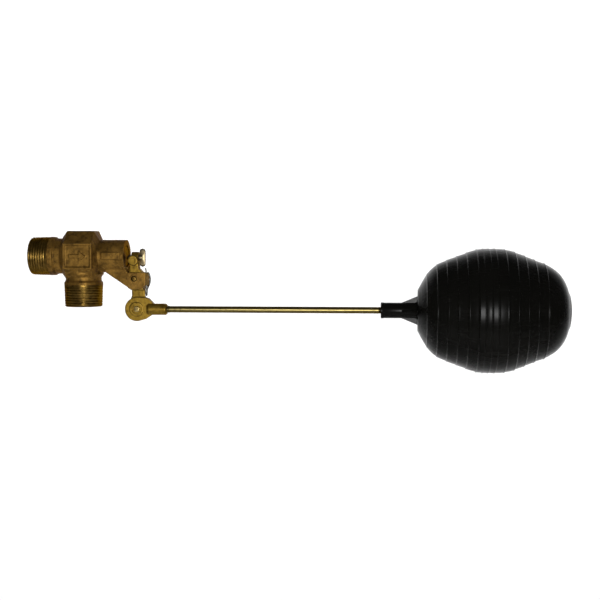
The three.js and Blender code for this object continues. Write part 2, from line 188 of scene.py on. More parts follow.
def slab(outline, front, back):
    """An outline of (x, z) points with thickness along Y."""
    count = len(outline)
    vertices = [(x, front, z) for x, z in outline] + [(x, back, z) for x, z in outline]
    faces = [tuple(range(count)), tuple(reversed(range(count, 2 * count)))]
    for i in range(count):
        following = (i + 1) % count
        faces.append((i, count + i, count + following, following))
    return vertices, faces


def block(x0, x1, y0, y1, z0, z1):
    """A plain closed box."""
    return slab([(x0, z0), (x1, z0), (x1, z1), (x0, z1)], y0, y1)


def arc(x, z, radius, start, end, steps):
    """Points on an arc in the XZ plane, angles in degrees."""
    points = []
    for step in range(steps + 1):
        angle = math.radians(start + (end - start) * step / steps)
        points.append((x + radius * math.cos(angle), z + radius * math.sin(angle)))
    return points


def joined(shapes):
    """Several shapes as one, without melting them together."""
    vertices, faces = [], []
    for more_vertices, more_faces in shapes:
        shift = len(vertices)
        vertices.extend(more_vertices)
        faces.extend(tuple(index + shift for index in face) for face in more_faces)
    return vertices, faces


def raw_object(name, shape):
    """An object with outward normals, still in millimetres."""
    mesh = bpy.data.meshes.new(name)
    mesh.from_pydata(shape[0], [], shape[1])
    work = bmesh.new()
    work.from_mesh(mesh)
    bmesh.ops.recalc_face_normals(work, faces=work.faces)
    work.to_mesh(mesh)
    work.free()
    thing = bpy.data.objects.new(name, mesh)
    bpy.context.scene.collection.objects.link(thing)
    return thing


def apply_modifiers(thing):
    """Turns an object's modifiers into its mesh."""
    bpy.context.view_layer.update()
    graph = bpy.context.evaluated_depsgraph_get()
    result = bpy.data.meshes.new_from_object(thing.evaluated_get(graph))
    thing.modifiers.clear()
    old = thing.data
    thing.data = result
    bpy.data.meshes.remove(old)


def cast(name, shapes, voxel, smoothing):
    """Melts overlapping shapes into one skin with soft fillets, as a casting has."""
    thing = raw_object(name, joined(shapes))
    remesh = thing.modifiers.new("skin", "REMESH")
    remesh.mode = "VOXEL"
    remesh.voxel_size = voxel
    smooth = thing.modifiers.new("fillets", "SMOOTH")
    smooth.factor = 0.5
    smooth.iterations = smoothing
    apply_modifiers(thing)
    return thing


def cut(thing, shapes):
    """Machines each shape out of the object."""
    for shape in shapes:
        cutter = raw_object("cutter", shape)
        boolean = thing.modifiers.new("cut", "BOOLEAN")
        boolean.operation = "DIFFERENCE"
        boolean.solver = "MANIFOLD"
        boolean.object = cutter
        apply_modifiers(thing)
        bpy.data.objects.remove(cutter)


def roughen(thing, height, size, seed):
    """Moves the skin in and out a little, as sand leaves it."""
    offset = Vector((seed, seed * 2.0, seed * 3.0))
    normals = [vertex.normal.copy() for vertex in thing.data.vertices]
    for vertex, normal in zip(thing.data.vertices, normals):
        amount = noise.noise((vertex.co + offset) / size)
        vertex.co += normal * amount * height


def finished(thing, body, replaced, materials, sharp=32):
    """Scales to metres, shades, and hands the piece to its CAD body."""
    thing.data.transform(Matrix.Scale(MILLIMETRE, 4))
    for polygon in thing.data.polygons:
        polygon.use_smooth = True
    thing.data.set_sharp_from_angle(angle=math.radians(sharp))
    thing.data.materials.clear()
    for material in materials:
        thing.data.materials.append(material)
    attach(thing, body)
    if replaced:
        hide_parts(*replaced)
    return thing


def add_shape(thing, shape):
    """Adds a closed shape to an object's mesh."""
    work = bmesh.new()
    work.from_mesh(thing.data)
    extra = raw_object("extra", shape)
    work.from_mesh(extra.data)
    work.to_mesh(thing.data)
    work.free()
    bpy.data.objects.remove(extra)


# ---------- materials ----------


def new_material(name):
    """A material with its nodes, its links and its main shader."""
    material = bpy.data.materials.new(name)
    material.use_nodes = True
    nodes = material.node_tree.nodes
    return material, nodes, material.node_tree.links, nodes["Principled BSDF"]


def noise_node(nodes, links, scale, detail=4.0, stretch=(1, 1, 1), roughness=0.55):
    """Noise in the row frame; scale is in features per metre."""
    place_node = nodes.new("ShaderNodeTexCoord")
    mapping = nodes.new("ShaderNodeMapping")
    mapping.inputs["Scale"].default_value = stretch
    links.new(place_node.outputs["Object"], mapping.inputs["Vector"])
    texture = nodes.new("ShaderNodeTexNoise")
    texture.inputs["Scale"].default_value = scale
    texture.inputs["Detail"].default_value = detail
    texture.inputs["Roughness"].default_value = roughness
    links.new(mapping.outputs["Vector"], texture.inputs["Vector"])
    return texture.outputs["Fac"]


def ramp_node(nodes, links, source, stops):
    """stops are (position, colour) pairs."""
    ramp = nodes.new("ShaderNodeValToRGB")
    elements = ramp.color_ramp.elements
    while len(elements) < len(stops):
        elements.new(0.5)
    for element, (position, colour) in zip(elements, stops):
        element.position = position
        element.color = (*colour, 1)
    links.new(source, ramp.inputs["Fac"])
    return ramp.outputs["Color"]


def range_node(nodes, links, source, low, high, start=0.3, end=0.7):
    """Maps the source from start..end to low..high."""
    node = nodes.new("ShaderNodeMapRange")
    node.inputs["From Min"].default_value = start
    node.inputs["From Max"].default_value = end
    node.inputs["To Min"].default_value = low
    node.inputs["To Max"].default_value = high
    links.new(source, node.inputs["Value"])
    return node.outputs["Result"]


def mix_node(nodes, links, factor, first, second, blend="MIX"):
    """Mixes two colours, each a tuple or a socket."""
    node = nodes.new("ShaderNodeMix")
    node.data_type = "RGBA"
    node.blend_type = blend
    if isinstance(factor, float):
        node.inputs["Factor"].default_value = factor
    else:
        links.new(factor, node.inputs["Factor"])
    for socket, value in (("A", first), ("B", second)):
        target = next(s for s in node.inputs if s.name == socket and s.type == "RGBA")
        if isinstance(value, tuple):
            target.default_value = (*value, 1)
        else:
            links.new(value, target)
    return next(s for s in node.outputs if s.type == "RGBA")


def bump_chain(nodes, links, shader, layers):
    """layers are (height source, strength, distance in metres)."""
    previous = None
    for source, strength, distance in layers:
        bump = nodes.new("ShaderNodeBump")
        bump.inputs["Strength"].default_value = strength
        bump.inputs["Distance"].default_value = distance
        links.new(source, bump.inputs["Height"])
        if previous is not None:
            links.new(previous, bump.inputs["Normal"])
        previous = bump.outputs["Normal"]
    links.new(previous, shader.inputs["Normal"])


BRASS_SHINE = (0.42, 0.34, 0.25)


def metal(name, shades, tarnish_and_shade, roughness, patch, grain, grain_strength, stretch=(1, 1, 1), worn=None,
          metallic=1.0):
    """A metal with patchy stains, a fine grain, rubbed edges and painted shade in its hollows.

    shades: darkest and lightest colour; tarnish_and_shade: colour of the stains, which darkened gives the
    painted hollow shade; roughness: lowest and highest.
    patch and grain: features per metre; worn: colour of rubbed edges, or None for neither rubbed edges nor
    painted hollow shade.
    """
    material, nodes, links, shader = new_material(name)
    shader.inputs["Metallic"].default_value = metallic
    shader.inputs["Specular IOR Level"].default_value = 0.25
    shader.inputs["Specular Tint"].default_value = (*BRASS_SHINE, 1)
    patches = noise_node(nodes, links, patch, 5, stretch)
    fine = noise_node(nodes, links, grain, 3, stretch, 0.6)
    stains = noise_node(nodes, links, patch * 2.7, 6)
    colour = ramp_node(nodes, links, patches, [(0.32, shades[0]), (0.68, shades[1])])
    stain_amount = range_node(nodes, links, stains, 0.0, 0.85, 0.5, 0.72)
    colour = mix_node(nodes, links, stain_amount, colour, tarnish_and_shade)
    speckle = ramp_node(nodes, links, fine, [(0.35, (0.72, 0.72, 0.72)), (0.65, (1.1, 1.1, 1.1))])
    colour = mix_node(nodes, links, 0.8, colour, speckle, "MULTIPLY")
    if worn:
        geometry = nodes.new("ShaderNodeNewGeometry")
        edge = range_node(nodes, links, geometry.outputs["Pointiness"], 0.0, 0.75, 0.53, 0.6)
        colour = mix_node(nodes, links, edge, colour, worn)
        # Painted shade: hollows (low pointiness) are darkened towards a very dark copy of the stain colour.
        hollow = range_node(nodes, links, geometry.outputs["Pointiness"], 0.7, 0.0, 0.42, 0.49)
        colour = mix_node(nodes, links, hollow, colour, tuple(c * 0.35 for c in tarnish_and_shade))
    links.new(colour, shader.inputs["Base Color"])
    links.new(range_node(nodes, links, patches, *roughness), shader.inputs["Roughness"])
    bump_chain(nodes, links, shader, [
        (patches, 0.25, 0.0003),
        (fine, grain_strength, 0.00012),
    ])
    return material


def rubber(name):
    """Dull black rubber."""
    material, nodes, links, shader = new_material(name)
    soft = noise_node(nodes, links, 600, 5)
    colour = ramp_node(nodes, links, soft, [(0.3, (0.010, 0.010, 0.010)), (0.7, (0.035, 0.034, 0.032))])
    links.new(colour, shader.inputs["Base Color"])
    links.new(range_node(nodes, links, soft, 0.6, 0.85), shader.inputs["Roughness"])
    bump_chain(nodes, links, shader, [(soft, 0.3, 0.0001)])
    return material


def moulded_plastic(name):
    """Semi-gloss black plastic with a faint moulding texture, scuffs and dust."""
    material, nodes, links, shader = new_material(name)
    broad = noise_node(nodes, links, 22, 4)
    scuffs = noise_node(nodes, links, 160, 8, (0.25, 1, 1), 0.7)
    fine = noise_node(nodes, links, 1400, 2)
    colour = ramp_node(nodes, links, broad, [(0.3, (0.0025, 0.0025, 0.002)), (0.7, (0.005, 0.0048, 0.004))])
    shader.inputs["Specular IOR Level"].default_value = 0.07
    dust = range_node(nodes, links, scuffs, 0.0, 0.2, 0.58, 0.8)
    colour = mix_node(nodes, links, dust, colour, (0.02, 0.019, 0.017))
    links.new(colour, shader.inputs["Base Color"])
    links.new(range_node(nodes, links, scuffs, 0.2, 0.32), shader.inputs["Roughness"])
    bump_chain(nodes, links, shader, [(broad, 0.12, 0.0008), (scuffs, 0.05, 0.0002), (fine, 0.08, 0.00005)])
    return material


CAST = metal(
    "cast_bronze_rough", ((0.130, 0.068, 0.013), (0.31, 0.170, 0.036)), (0.050, 0.027, 0.008),
    (0.42, 0.6), 90, 1300, 0.55, worn=(0.36, 0.22, 0.06), metallic=0.65,
)
MACHINED = metal(
    "bronze_machined", ((0.12, 0.068, 0.014), (0.25, 0.150, 0.034)), (0.055, 0.032, 0.008),
    (0.26, 0.42), 140, 2600, 0.2,
)
LEVER = metal(
    "lever_brass_tumbled", ((0.20, 0.120, 0.016), (0.33, 0.205, 0.030)), (0.11, 0.063, 0.010),
    (0.34, 0.52), 120, 1500, 0.35, worn=(0.50, 0.36, 0.12), metallic=0.8,
)
TURNED = metal(
    "brass_turned", ((0.42, 0.30, 0.10), (0.60, 0.45, 0.18)), (0.24, 0.16, 0.05),
    (0.22, 0.38), 200, 3000, 0.15,
)
DRAWN = metal(
    "rod_brass_drawn", ((0.12, 0.092, 0.032), (0.20, 0.157, 0.058)), (0.07, 0.052, 0.018),
    (0.2, 0.36), 160, 2400, 0.15, stretch=(0.06, 1, 1),
)
SCREW = metal(
    "screw_nickel_brass", ((0.17, 0.13, 0.07), (0.32, 0.26, 0.15)), (0.10, 0.075, 0.04),
    (0.3, 0.45), 260, 2600, 0.2, worn=(0.42, 0.34, 0.2),
)
STEEL = metal(
    "spring_steel_dull", ((0.10, 0.10, 0.085), (0.24, 0.235, 0.21)), (0.05, 0.05, 0.04),
    (0.25, 0.4), 300, 3000, 0.15,
)
RUBBER = rubber("rubber_black")
PLASTIC = moulded_plastic("float_plastic_black")

# ---------- valve body ----------


def tooth(phase):
    """Depth of a truncated thread at this share of a pitch: 0 on the crest, 1 in the root."""
    distance = abs(2 * (phase % 1.0) - 1)
    return min(1.0, max(0.0, (distance - 0.14) / 0.74))


def thread_cut(start, end, pitch, depth, fade):
    """A radius_at function that cuts a helical thread between two places along the axis."""

    def radius_at(along, radius, angle):
        if not start <= along <= end:
            return radius
        turn = angle / (2 * math.pi)
        ease = min(1.0, (end - along) / fade)
        return radius - depth * ease * tooth((along - start) / pitch + turn)

    return radius_at


def pipe_spigot(name, axis, tip, length, centre):
    """A taper pipe thread and its bore, from the tip inwards in the positive direction of the axis."""
    sections = 150
    depth, fade = 0.45, 3.5
    lead_in = 0.9
    bore_depth = 19.0
    taper = 1 / 32
    tip_radius = THREAD_RADIUS - length * taper
    profile = [(0.0, PORT_BORE + 0.5), (0.0, tip_radius - 1.0), (0.5, tip_radius - 0.5)]
    for step in range(sections):
        along = lead_in + (length - lead_in) * step / (sections - 1)
        profile.append((along, tip_radius + along * taper))
    profile += [
        (length + 0.3, THREAD_RADIUS - 0.5), (length + 2.0, PORT_BORE + 1.6),
        (bore_depth, PORT_BORE), (0.5, PORT_BORE),
    ]
    cut_thread = thread_cut(lead_in, length - 0.1, THREAD_PITCH, depth, fade)

    def radius_at(along, radius, angle):
        distance = along - tip
        if radius < tip_radius - 0.2:
            return radius
        return cut_thread(distance, radius, angle)

    placed = [(tip + along, radius) for along, radius in profile]
    shape = turned(placed, axis, centre, 112, 0.0, radius_at, closed=True)
    thing = raw_object(name, shape)
    return finished(thing, "valve", (), [MACHINED], 28)


def ear_outline():
    """Side view of an ear, from the barrel down around the pivot."""
    return [
        (64, -9), (67, -14.2), (85.6, -26.7),
        *arc(PIVOT_X - 1, PIVOT_Z, 9.2, -115, -85, 3),
        *arc(EAR_RIGHT - 6, PIVOT_Z - 3.2, 6, -80, 0, 7),
        (EAR_RIGHT, EAR_TOP), (BARREL_END + 2.2, EAR_TOP), (BARREL_END + 0.8, EAR_TOP + 1.6),
        (BARREL_END, EAR_TOP + 4.4), (BARREL_END - 1, -9),
    ]


def flow_arrow():
    """Plain arrow that shows the way the water runs."""
    middle = (PAD_LEFT + PAD_RIGHT) / 2
    half_length, half_width, half_shaft = 7, 4, 1.3
    barb = middle + 1.5
    thickness = 1.8
    outline = [
        (middle - half_length, -half_shaft), (barb, -half_shaft), (barb, -half_width),
        (middle + half_length, 0),
        (barb, half_width), (barb, half_shaft), (middle - half_length, half_shaft),
    ]
    return slab(outline, -PAD_FACE, -PAD_FACE + thickness)


def cast_pad(side):
    """A square pad with a raised rim; side is -1 in front and +1 behind."""
    rim, relief = 1.5, 0.8

    def layer(x0, x1, z0, z1, height):
        near, far = sorted((side * PAD_ROOT, side * height))
        return block(x0, x1, near, far, z0, z1)

    return [
        layer(PAD_LEFT, PAD_RIGHT, -PAD_HALF, PAD_HALF, PAD_FACE - relief),
        layer(PAD_LEFT, PAD_LEFT + rim, -PAD_HALF, PAD_HALF, PAD_FACE),
        layer(PAD_RIGHT - rim, PAD_RIGHT, -PAD_HALF, PAD_HALF, PAD_FACE),
        layer(PAD_LEFT, PAD_RIGHT, -PAD_HALF, -PAD_HALF + rim, PAD_FACE),
        layer(PAD_LEFT, PAD_RIGHT, PAD_HALF - rim, PAD_HALF, PAD_FACE),
    ]


def centre_block():
    """The eight-sided block, with a slope at each end."""
    corner = 1 / math.cos(math.pi / 8)
    return turned([
        (BLOCK_LEFT, 0), (BLOCK_LEFT, (NECK_RADIUS + 0.5) * corner),
        (BLOCK_LEFT + BLOCK_BEVEL, BLOCK_APOTHEM * corner),
        (BLOCK_RIGHT - BLOCK_BEVEL, BLOCK_APOTHEM * corner),
        (BLOCK_RIGHT, BARREL_RADIUS), (BLOCK_RIGHT, 0),
    ], sides=8, phase=math.pi / 8)


def inlet_neck():
    """The land behind the inlet thread and the neck up to the block."""
    start = INLET_THREAD + LAND_SEAM
    end = INLET_THREAD + INLET_LAND
    land = THREAD_RADIUS - LAND_SEAM
    inside_block = 32
    return turned([
        (start, 0), (start, land), (end, land),
        (end + SHOULDER, NECK_RADIUS), (inside_block, NECK_RADIUS), (inside_block, 0),
    ])


def outlet_neck():
    """The land above the outlet thread, the neck and the flare under the block."""
    start = OUTLET_END + OUTLET_THREAD + LAND_SEAM
    end = OUTLET_END + OUTLET_THREAD + OUTLET_LAND
    land = THREAD_RADIUS - LAND_SEAM
    flare = NECK_RADIUS + 2
    return turned([
        (start, 0), (start, land), (end, land),
        (end + SHOULDER, NECK_RADIUS), (-18, NECK_RADIUS),
        (-15.6, flare), (-12, flare), (0, NECK_RADIUS), (0, 0),
    ], "Z", (OUTLET_X, 0, 0))


def ear_web():
    """The rib that joins the two ears under the barrel."""
    outline = [(64, -9), (67, -14.2), (84.4, -25.9), (84.4, -23), (77, -18), (77, -9)]
    return slab(outline, -EAR_INNER - 1, EAR_INNER + 1)


def mark_machined(thing):
    """Gives the walls of the machined holes the second material; the piece is in metres by now."""
    margin = 0.15
    for polygon in thing.data.polygons:
        x, y, z = (value / MILLIMETRE for value in polygon.center)
        around_inlet = math.hypot(y, z)
        around_outlet = math.hypot(x - OUTLET_X, y)
        guide = around_inlet < GUIDE_BORE + margin and x > 56
        outlet_wall = around_outlet < PORT_BORE + margin and z < -10
        inlet_wall = around_inlet < PORT_BORE + margin and x < 28
        pin_hole = math.hypot(x - PIVOT_X, z - PIVOT_Z) < PIN_RADIUS + GAP + 0.1
        if guide or outlet_wall or inlet_wall or pin_hole:
            polygon.material_index = 1


def body_casting():
    """The cast body: melted together, sanded, then machined where the real one is."""
    label_bar = block(64, 80, -BARREL_RADIUS - 0.55, -BARREL_RADIUS + 2, -2.6, 3.2)
    thing = cast("body_casting", [
        inlet_neck(),
        centre_block(),
        cylinder(OUTLET_X, BARREL_END + 3, BARREL_RADIUS),
        outlet_neck(),
        slab(ear_outline(), -EAR_OUTER, -EAR_INNER),
        slab(ear_outline(), EAR_INNER, EAR_OUTER),
        ear_web(),
        *cast_pad(-1),
        *cast_pad(1),
        flow_arrow(),
        label_bar,
    ], 0.4, 3)
    roughen(thing, 0.1, 1.6, 3.0)
    trim_right = BARREL_END + 8
    between_ears = EAR_INNER - 0.2
    cut(thing, [
        block(BARREL_END, trim_right, -16, 16, EAR_TOP + 4.4, 16),
        block(BARREL_END, trim_right, -between_ears, between_ears, -30, EAR_TOP + 4.5),
        cylinder(10, 20, PORT_BORE, sides=BORE_SIDES),
        cylinder(19, 29, SEAT_POCKET, sides=BORE_SIDES),
        cylinder(28, 56, CHAMBER_BORE, sides=BORE_SIDES),
        cylinder(55, 92, GUIDE_BORE, sides=BORE_SIDES),
        cylinder(-60, 0, PORT_BORE, "Z", (OUTLET_X, 0, 0), BORE_SIDES),
        cylinder(-20, 20, PIN_RADIUS + GAP, "Y", (PIVOT_X, 0, PIVOT_Z), 48),
    ])
    finished(thing, "valve", ("valve_body",), [CAST, MACHINED])
    mark_machined(thing)


body_casting()
pipe_spigot("inlet_thread_machined", "X", 0.0, INLET_THREAD, (0, 0, 0))
pipe_spigot("outlet_thread_machined", "Z", OUTLET_END, OUTLET_THREAD, (OUTLET_X, 0, 0))

# ---------- small turned pieces ----------


def small_piece(node, profile, axis, centre, body, material, sides=64, radius=0.2):
    """A turned piece that stands for one CAD node; its profile starts and ends on the axis."""
    thing = raw_object(node + "_turned", turned(soften(profile, radius), axis, centre, sides))
    return finished(thing, body, (node,), [material])


def ring_piece(node, profile, axis, centre, body, material, sides=72):
    """A turned ring: the profile closes on itself."""
    loop = profile[:-1]
    softened = soften([*loop, loop[0], loop[1]], 0.18)[1:-1]
    shape = turned(softened, axis, centre, sides, closed=True)
    thing = raw_object(node + "_turned", shape)
    return finished(thing, body, (node,), [material])


SEAT_LIP = 30.0
PLUNGER_STROKE = 2.51
DISC_FACE = SEAT_LIP + GAP + PLUNGER_STROKE
CUP_FLOOR = DISC_FACE + 4.1
PLUNGER_RADIUS = 8.9
STEM_RADIUS = 5.2
TAIL_END = 82.9
ON_INLET = (0, 0, 0)


def rectangle(start, end, inner, outer):
    """The closed profile of a plain ring."""
    return [(start, inner), (start, outer), (end, outer), (end, inner), (start, inner)]


ring_piece("seat_ring", [
    (16.7, 6.8), (16.7, 12.1), (18.7, 12.1), (18.7, 9.3), (SEAT_LIP - 1, 9.3),
    (SEAT_LIP, 8.2), (SEAT_LIP, 6.8), (16.7, 6.8),
], "X", ON_INLET, "valve", TURNED)
ring_piece("seat_gasket", rectangle(19, 19.7, 9.7, 12.1), "X", ON_INLET, "valve", RUBBER)
small_piece("plunger", [
    (CUP_FLOOR + 8, 0), (CUP_FLOOR + 8, 2.5), (CUP_FLOOR, 2.5), (CUP_FLOOR, 8.3), (DISC_FACE + 1.2, 8.3),
    (DISC_FACE + 1.2, PLUNGER_RADIUS), (CUP_FLOOR + 2.6, PLUNGER_RADIUS), (CUP_FLOOR + 4, STEM_RADIUS),
    (59.5, STEM_RADIUS), (60.5, PLUNGER_RADIUS), (63, PLUNGER_RADIUS), (63, STEM_RADIUS),
    (TAIL_END - 5, STEM_RADIUS), (TAIL_END - 4, PLUNGER_RADIUS), (TAIL_END - 0.6, PLUNGER_RADIUS),
    (TAIL_END, PLUNGER_RADIUS - 0.6), (TAIL_END, 3.0), (TAIL_END - 0.25, 2.7), (TAIL_END - 0.25, 0),
], "X", ON_INLET, "plunger_body", MACHINED, 72)
ring_piece("seat_disc", rectangle(DISC_FACE, DISC_FACE + 3.8, 2.5, 8), "X", ON_INLET,
           "plunger_body", RUBBER)
ring_piece("disc_washer", rectangle(DISC_FACE - 1, DISC_FACE - GAP, 2.5, 5.2), "X", ON_INLET,
           "plunger_body", TURNED)
ring_piece("cup_retainer", rectangle(64.9, 68.4, STEM_RADIUS + GAP, 7.9), "X", ON_INLET,
           "plunger_body", TURNED)
ring_piece("cup_washer", [
    (63.3, 5.5), (63.3, 9), (67.3, 9), (67.3, 8.2), (64.6, 8.2), (64.6, 5.5), (63.3, 5.5),
], "X", ON_INLET, "plunger_body", RUBBER)


def disc_screw():
    """Slotted screw that holds the rubber disc."""
    under = DISC_FACE - 1 - GAP
    shape = turned(soften([
        (under - 1.4, 0), (under - 1.4, 3.4), (under - 0.9, 4.1), (under, 4.1),
        (under, 2.2), (CUP_FLOOR + 7, 2.2), (CUP_FLOOR + 7, 0),
    ], 0.2), "X", ON_INLET, 48)
    thing = raw_object("disc_screw_turned", shape)
    cut(thing, [block(under - 2, under - 0.8, -5, 5, -0.5, 0.5)])
    finished(thing, "plunger_body", ("disc_screw",), [TURNED])


disc_screw()
small_piece("pivot_pin", [
    (-EAR_OUTER - 0.5, 0), (-EAR_OUTER - 0.5, PIN_RADIUS - 0.4), (-EAR_OUTER - 0.1, PIN_RADIUS),
    (EAR_OUTER + GAP, PIN_RADIUS), (EAR_OUTER + GAP, 3.6), (EAR_OUTER + 1.6, 3.6),
    (EAR_OUTER + 2.0, 3.2), (EAR_OUTER + 2.0, 0),
], "Y", (PIVOT_X, 0, PIVOT_Z), "valve", MACHINED, 40)

# ---------- lever ----------

LEVER_PLATE_FRONT = 0.5
TONGUE_RIGHT = 101.1
CLIP_X, CLIP_Y, CLIP_RADIUS = 99.8, 1.3, 0.65
DISC_RADIUS = 10.3
CROSS_X, CROSS_Z, CROSS_RADIUS = 90.0, -3.7, 4.1
BOSS_LEFT, BOSS_RIGHT, BOSS_RADIUS = 88, 94, 5.0
SCREW_CLEARANCE = 2.9
BOLT_HOLE = 2.3


def lever():
    """Cross bar and boss at the top, block between the ears, tongue, and the disc of the clamp."""
    spine = slab([
        (87, CROSS_Z), (86.6, -8), (86, -14.4), *arc(PIVOT_X, PIVOT_Z, 6.4, 140, 200, 5),
        (84.7, -22.6), (84.7, -25.3), (86.9, -26.6), (87, -29), (98.3, -29), (98.4, -26.8),
        (TONGUE_RIGHT, -24.4), (TONGUE_RIGHT, -15.6), (TONGUE_RIGHT - 0.8, -14.8), (98.4, -14.8),
        (BOSS_RIGHT, -10.5), (BOSS_RIGHT, CROSS_Z),
    ], -LEVER_HALF, LEVER_HALF)
    neck = slab([
        (87, -28), (87.2, -34.5), (BOLT_X - 8.9, BOLT_Z + 4.2), (BOLT_X + 8.9, BOLT_Z + 4.2),
        (98.5, -34.5), (98.3, -28),
    ], LEVER_PLATE_FRONT, LEVER_HALF)
    cross_bar = cylinder(-8, 8, CROSS_RADIUS, "Y", (CROSS_X, 0, CROSS_Z))
    boss = cylinder(BOSS_LEFT, BOSS_RIGHT, BOSS_RADIUS, "X", (0, 0, HEAD_Z))
    disc = cylinder(LEVER_PLATE_FRONT, LEVER_HALF, DISC_RADIUS - 0.4, "Y", (BOLT_X, 0, BOLT_Z))
    thing = cast("lever_forging", [spine, neck, cross_bar, boss, disc], 0.34, 4)
    roughen(thing, 0.05, 1.2, 8.0)
    cut(thing, [
        cylinder(80, 100, SCREW_CLEARANCE, "X", (0, 0, HEAD_Z), 40),
        cylinder(-20, 20, PIN_RADIUS + GAP, "Y", (PIVOT_X, 0, PIVOT_Z), 40),
        cylinder(-1, 20, BOLT_HOLE, "Y", (BOLT_X, 0, BOLT_Z), 40),
        cylinder(-32, -10, CLIP_RADIUS + 0.15, "Z", (CLIP_X, CLIP_Y, 0), 24),
    ])
    finished(thing, "lever_body", ("lever",), [LEVER])


def spring_clip():
    """Bent wire: one leg in the hole of the lever, the other behind it and bowed out to the right."""
    back = 2.4
    points = [
        (-0.7, 0, -10.2), (-0.5, 0, -11.4), (-0.1, 0, -12.8), (0, 0, -15), (0, 0, -20), (0, 0, -26),
        (0, 0, -32.4), (0, 0.5, -33.5), (0, 1.2, -33.9), (0, back - 0.5, -33.5), (0, back, -32.4),
        (0.1, back, -30.5), (0.5, back - 0.1, -28.3), (1.5, back - 0.5, -26.2), (2.5, back - 1.1, -24),
        (3.2, back - 1.7, -21), (3.2, 0.4, -18.5), (2.6, 0.1, -15.8), (1.7, 0, -14),
    ]
    curve = bpy.data.curves.new("spring_clip_wire", "CURVE")
    curve.dimensions = "3D"
    curve.bevel_depth = CLIP_RADIUS
    curve.bevel_resolution = 4
    curve.use_fill_caps = True
    spline = curve.splines.new("BEZIER")
    spline.bezier_points.add(len(points) - 1)
    for knot, (x, y, z) in zip(spline.bezier_points, points):
        knot.co = (CLIP_X + x, CLIP_Y + y, z)
        knot.handle_left_type = knot.handle_right_type = "AUTO"
    bent = bpy.data.objects.new("spring_clip_curve", curve)
    bpy.context.scene.collection.objects.link(bent)
    bpy.context.view_layer.update()
    mesh = bpy.data.meshes.new_from_object(bent.evaluated_get(bpy.context.evaluated_depsgraph_get()))
    bpy.data.objects.remove(bent)
    thing = bpy.data.objects.new("spring_clip_wire", mesh)
    bpy.context.scene.collection.objects.link(thing)
    finished(thing, "lever_body", ("spring_clip",), [STEEL], 60)


def screw_stem(tip, blade_left):
    """Domed tip, threaded shank and the end that is buried in the blade."""
    shank = 2.6
    sections = 110
    profile = []
    for degrees in (0, 20, 40, 60, 75):
        angle = math.radians(degrees)
        profile.append((tip + shank * (1 - math.cos(angle)), shank * math.sin(angle)))
    start, end = tip + shank, blade_left + 0.2
    for step in range(sections):
        profile.append((start + (end - start) * step / (sections - 1), shank))
    profile += [(blade_left + 2.5, shank * 0.9), (blade_left + 3.4, 0)]
    cut_thread = thread_cut(start, end, SMALL_THREAD_PITCH, 0.5, 1.5)
    return turned(profile, "X", (0, 0, HEAD_Z), 40, 0.0, cut_thread)


def oval_blade(left, right, half_height):
    """A flat oval with round ends and a rounded rim, thicker in the middle."""
    around, rings = 56, 14
    rim_start, rim_width = 0.82, 0.18
    middle = (left + right) / 2
    half = (right - left) / 2
    vertices, faces = [], []
    for side in (-1, 1):
        for ring in range(rings + 1):
            share = ring / rings
            rim = math.sqrt(max(0.0, 1 - max(0.0, (share - rim_start) / rim_width) ** 2))
            thick = (0.95 + 0.5 * (1 - share) ** 2) * rim
            for step in range(around):
                angle = 2 * math.pi * step / around
                straight = (half_height - half) * (1 if math.sin(angle) >= 0 else -1)
                if abs(math.sin(angle)) < 1e-6:
                    straight = 0.0
                x = middle + share * half * math.cos(angle)
                z = HEAD_Z + share * (straight + half * math.sin(angle))
                vertices.append((x, side * thick, z))
    per_side = (rings + 1) * around
    for side in range(2):
        for ring in range(rings):
            for step in range(around):
                following = (step + 1) % around
                first = side * per_side + ring * around + step
                second = side * per_side + ring * around + following
                faces.append((first, second, second + around, first + around))
    return vertices, faces


def thumb_screw():
    """Adjusting screw with a pinched oval blade to turn it by."""
    screw_low, screw_high = box_mm("thumb_screw")
    blade_left = 94.4
    half_height = (screw_high[2] - screw_low[2]) / 2
    stem = screw_stem(screw_low[0], blade_left)
    blade = oval_blade(blade_left, screw_high[0], half_height)
    thing = raw_object("thumb_screw_detail", joined([stem, blade]))
    work = bmesh.new()
    work.from_mesh(thing.data)
    bmesh.ops.remove_doubles(work, verts=work.verts, dist=0.001)
    bmesh.ops.recalc_face_normals(work, faces=work.faces)
    work.to_mesh(thing.data)
    work.free()
    finished(thing, "screw_body", ("thumb_screw",), [SCREW], 50)


lever()
spring_clip()
thumb_screw()

# ---------- clamp of the arm ----------

BOLT_RADIUS = 2.0
AT_BOLT = (BOLT_X, 0, BOLT_Z)
PLATE_FRONT, PLATE_BACK = -6.6, -0.3
SOCKET_RADIUS = 4.9
ROD_HOLE = 3.35
WASHER_BACK = LEVER_HALF + GAP + 1.1


